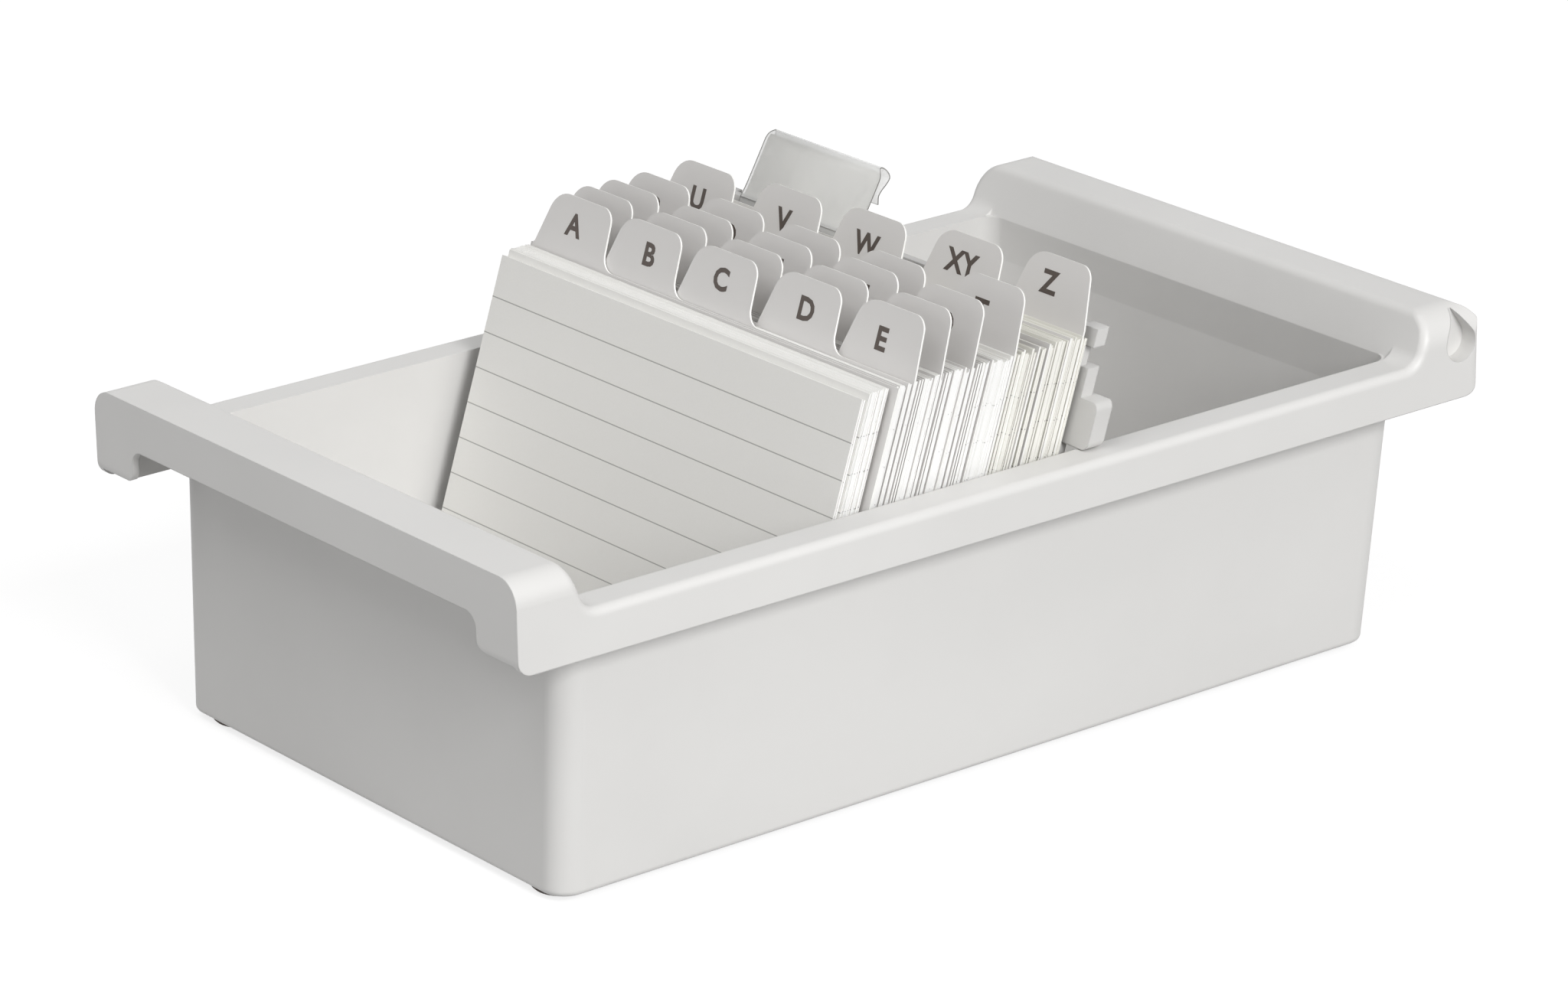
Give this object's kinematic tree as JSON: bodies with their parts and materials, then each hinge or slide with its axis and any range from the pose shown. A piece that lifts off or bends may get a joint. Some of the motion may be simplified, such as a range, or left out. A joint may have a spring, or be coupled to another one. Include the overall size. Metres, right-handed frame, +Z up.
{
  "type": "index card drawer",
  "caption": "Moulded drawer for ruled index cards, with lettered guide cards leaning on a sliding support plate and a finger grip under the front bar.",
  "frame": {"origin": "under the middle of the tray, on the surface that its feet stand on", "axes": "+X to the right of someone who faces the handle, +Y towards the rear, +Z up; the handle is towards -Y"},
  "size_m": [0.18, 0.308, 0.1235],
  "materials": {
    "tray_plastic": "fine-grained moulded, light warm grey",
    "foot_rubber": "matt moulded, dark brown",
    "card_paper": "uncoated index card, ruled",
    "guide_card": "smooth pressboard, light grey",
    "support_plastic": "fine-grained moulded, light grey",
    "clear_film": "clear film, glossy",
    "label_paper": "uncoated paper"
  },
  "bodies": {
    "tray": {"tray": "tray_plastic", "foot_front_left": "foot_rubber", "foot_front_right": "foot_rubber", "foot_rear_left": "foot_rubber", "foot_rear_right": "foot_rubber"},
    "front_pack": {"front_pack": "card_paper"},
    "front_card": {"front_card": "card_paper"},
    "section_a": {"guide_a": "guide_card"},
    "section_b": {"guide_b": "guide_card"},
    "section_c": {"guide_c": "guide_card", "pack_c": "card_paper"},
    "section_d": {"guide_d": "guide_card", "pack_d": "card_paper"},
    "section_e": {"guide_e": "guide_card", "pack_e": "card_paper"},
    "section_f": {"guide_f": "guide_card"},
    "section_g": {"guide_g": "guide_card"},
    "section_h": {"guide_h": "guide_card", "pack_h": "card_paper"},
    "section_i": {"guide_i": "guide_card", "pack_i": "card_paper"},
    "section_j": {"guide_j": "guide_card", "pack_j": "card_paper"},
    "section_k": {"guide_k": "guide_card"},
    "section_l": {"guide_l": "guide_card", "pack_l": "card_paper"},
    "section_m": {"guide_m": "guide_card", "pack_m": "card_paper"},
    "section_n": {"guide_n": "guide_card", "pack_n": "card_paper"},
    "section_o": {"guide_o": "guide_card", "pack_o": "card_paper"},
    "section_p": {"guide_p": "guide_card"},
    "section_q": {"guide_q": "guide_card"},
    "section_r": {"guide_r": "guide_card", "pack_r": "card_paper"},
    "section_s": {"guide_s": "guide_card", "pack_s": "card_paper"},
    "section_t": {"guide_t": "guide_card", "pack_t": "card_paper"},
    "section_u": {"guide_u": "guide_card", "pack_u": "card_paper"},
    "section_v": {"guide_v": "guide_card", "pack_v": "card_paper"},
    "section_w": {"guide_w": "guide_card", "pack_w": "card_paper"},
    "section_xy": {"guide_xy": "guide_card", "pack_xy": "card_paper"},
    "section_z": {"guide_z": "guide_card", "pack_z": "card_paper"},
    "support_plate": {"support_plate": "support_plastic"},
    "label": {"label_tab": "clear_film", "label_paper": "label_paper"}
  },
  "joints": [
    {"name": "front_pack_tilt", "type": "hinge", "parent": "tray", "child": "front_pack", "pos_m": [0, -0.072, 0.0044], "axis": [1, 0, 0], "range_deg": [0, 40]},
    {"name": "front_card_lift", "type": "slide", "parent": "front_pack", "child": "front_card", "axis": [0, 0.3173, 0.9483], "range_m": [0, 0.1]},
    {"name": "section_a_tilt", "type": "hinge", "parent": "tray", "child": "section_a", "pos_m": [0, -0.06392, 0.0044], "axis": [1, 0, 0], "range_deg": [0, 38.46]},
    {"name": "section_b_tilt", "type": "hinge", "parent": "tray", "child": "section_b", "pos_m": [0, -0.06308, 0.0044], "axis": [1, 0, 0], "range_deg": [0, 36.92]},
    {"name": "section_c_tilt", "type": "hinge", "parent": "tray", "child": "section_c", "pos_m": [0, -0.06223, 0.0044], "axis": [1, 0, 0], "range_deg": [0, 35.38]},
    {"name": "section_d_tilt", "type": "hinge", "parent": "tray", "child": "section_d", "pos_m": [0, -0.05954, 0.0044], "axis": [1, 0, 0], "range_deg": [0, 33.85]},
    {"name": "section_e_tilt", "type": "hinge", "parent": "tray", "child": "section_e", "pos_m": [0, -0.05753, 0.0044], "axis": [1, 0, 0], "range_deg": [0, 32.31]},
    {"name": "section_f_tilt", "type": "hinge", "parent": "tray", "child": "section_f", "pos_m": [0, -0.05599, 0.0044], "axis": [1, 0, 0], "range_deg": [0, 30.77]},
    {"name": "section_g_tilt", "type": "hinge", "parent": "tray", "child": "section_g", "pos_m": [0, -0.05515, 0.0044], "axis": [1, 0, 0], "range_deg": [0, 29.23]},
    {"name": "section_h_tilt", "type": "hinge", "parent": "tray", "child": "section_h", "pos_m": [0, -0.05431, 0.0044], "axis": [1, 0, 0], "range_deg": [0, 27.69]},
    {"name": "section_i_tilt", "type": "hinge", "parent": "tray", "child": "section_i", "pos_m": [0, -0.05114, 0.0044], "axis": [1, 0, 0], "range_deg": [0, 26.15]},
    {"name": "section_j_tilt", "type": "hinge", "parent": "tray", "child": "section_j", "pos_m": [0, -0.04914, 0.0044], "axis": [1, 0, 0], "range_deg": [0, 24.62]},
    {"name": "section_k_tilt", "type": "hinge", "parent": "tray", "child": "section_k", "pos_m": [0, -0.0476, 0.0044], "axis": [1, 0, 0], "range_deg": [0, 23.08]},
    {"name": "section_l_tilt", "type": "hinge", "parent": "tray", "child": "section_l", "pos_m": [0, -0.04675, 0.0044], "axis": [1, 0, 0], "range_deg": [0, 21.54]},
    {"name": "section_m_tilt", "type": "hinge", "parent": "tray", "child": "section_m", "pos_m": [0, -0.04498, 0.0044], "axis": [1, 0, 0], "range_deg": [0, 20]},
    {"name": "section_n_tilt", "type": "hinge", "parent": "tray", "child": "section_n", "pos_m": [0, -0.04159, 0.0044], "axis": [1, 0, 0], "range_deg": [0, 18.46]},
    {"name": "section_o_tilt", "type": "hinge", "parent": "tray", "child": "section_o", "pos_m": [0, -0.03912, 0.0044], "axis": [1, 0, 0], "range_deg": [0, 16.92]},
    {"name": "section_p_tilt", "type": "hinge", "parent": "tray", "child": "section_p", "pos_m": [0, -0.03758, 0.0044], "axis": [1, 0, 0], "range_deg": [0, 15.38]},
    {"name": "section_q_tilt", "type": "hinge", "parent": "tray", "child": "section_q", "pos_m": [0, -0.03674, 0.0044], "axis": [1, 0, 0], "range_deg": [0, 13.85]},
    {"name": "section_r_tilt", "type": "hinge", "parent": "tray", "child": "section_r", "pos_m": [0, -0.03589, 0.0044], "axis": [1, 0, 0], "range_deg": [0, 12.31]},
    {"name": "section_s_tilt", "type": "hinge", "parent": "tray", "child": "section_s", "pos_m": [0, -0.03296, 0.0044], "axis": [1, 0, 0], "range_deg": [0, 10.77]},
    {"name": "section_t_tilt", "type": "hinge", "parent": "tray", "child": "section_t", "pos_m": [0, -0.02562, 0.0044], "axis": [1, 0, 0], "range_deg": [0, 9.23]},
    {"name": "section_u_tilt", "type": "hinge", "parent": "tray", "child": "section_u", "pos_m": [0, -0.02223, 0.0044], "axis": [1, 0, 0], "range_deg": [0, 7.69]},
    {"name": "section_v_tilt", "type": "hinge", "parent": "tray", "child": "section_v", "pos_m": [0, -0.01791, 0.0044], "axis": [1, 0, 0], "range_deg": [0, 6.15]},
    {"name": "section_w_tilt", "type": "hinge", "parent": "tray", "child": "section_w", "pos_m": [0, -0.01451, 0.0044], "axis": [1, 0, 0], "range_deg": [0, 4.62]},
    {"name": "section_xy_tilt", "type": "hinge", "parent": "tray", "child": "section_xy", "pos_m": [0, -0.00787, 0.0044], "axis": [1, 0, 0], "range_deg": [0, 3.08]},
    {"name": "section_z_tilt", "type": "hinge", "parent": "tray", "child": "section_z", "pos_m": [0, -0.00331, 0.0044], "axis": [1, 0, 0], "range_deg": [0, 1.54]},
    {"name": "support_slide", "type": "slide", "parent": "tray", "child": "support_plate", "axis": [0, 1, 0], "range_m": [0, 0.09]},
    {"name": "label_lift", "type": "slide", "parent": "support_plate", "child": "label", "axis": [0, 0.3173, 0.9483], "range_m": [0, 0.03]}
  ],
  "couplings": [
    {"joint": "section_a_tilt", "follows": "front_pack_tilt", "ratio": 0.9615},
    {"joint": "section_b_tilt", "follows": "front_pack_tilt", "ratio": 0.9231},
    {"joint": "section_c_tilt", "follows": "front_pack_tilt", "ratio": 0.8846},
    {"joint": "section_d_tilt", "follows": "front_pack_tilt", "ratio": 0.8462},
    {"joint": "section_e_tilt", "follows": "front_pack_tilt", "ratio": 0.8077},
    {"joint": "section_f_tilt", "follows": "front_pack_tilt", "ratio": 0.7692},
    {"joint": "section_g_tilt", "follows": "front_pack_tilt", "ratio": 0.7308},
    {"joint": "section_h_tilt", "follows": "front_pack_tilt", "ratio": 0.6923},
    {"joint": "section_i_tilt", "follows": "front_pack_tilt", "ratio": 0.6538},
    {"joint": "section_j_tilt", "follows": "front_pack_tilt", "ratio": 0.6154},
    {"joint": "section_k_tilt", "follows": "front_pack_tilt", "ratio": 0.5769},
    {"joint": "section_l_tilt", "follows": "front_pack_tilt", "ratio": 0.5385},
    {"joint": "section_m_tilt", "follows": "front_pack_tilt", "ratio": 0.5},
    {"joint": "section_n_tilt", "follows": "front_pack_tilt", "ratio": 0.4615},
    {"joint": "section_o_tilt", "follows": "front_pack_tilt", "ratio": 0.4231},
    {"joint": "section_p_tilt", "follows": "front_pack_tilt", "ratio": 0.3846},
    {"joint": "section_q_tilt", "follows": "front_pack_tilt", "ratio": 0.3462},
    {"joint": "section_r_tilt", "follows": "front_pack_tilt", "ratio": 0.3077},
    {"joint": "section_s_tilt", "follows": "front_pack_tilt", "ratio": 0.2692},
    {"joint": "section_t_tilt", "follows": "front_pack_tilt", "ratio": 0.2308},
    {"joint": "section_u_tilt", "follows": "front_pack_tilt", "ratio": 0.1923},
    {"joint": "section_v_tilt", "follows": "front_pack_tilt", "ratio": 0.1538},
    {"joint": "section_w_tilt", "follows": "front_pack_tilt", "ratio": 0.1154},
    {"joint": "section_xy_tilt", "follows": "front_pack_tilt", "ratio": 0.0769},
    {"joint": "section_z_tilt", "follows": "front_pack_tilt", "ratio": 0.0385}
  ]
}
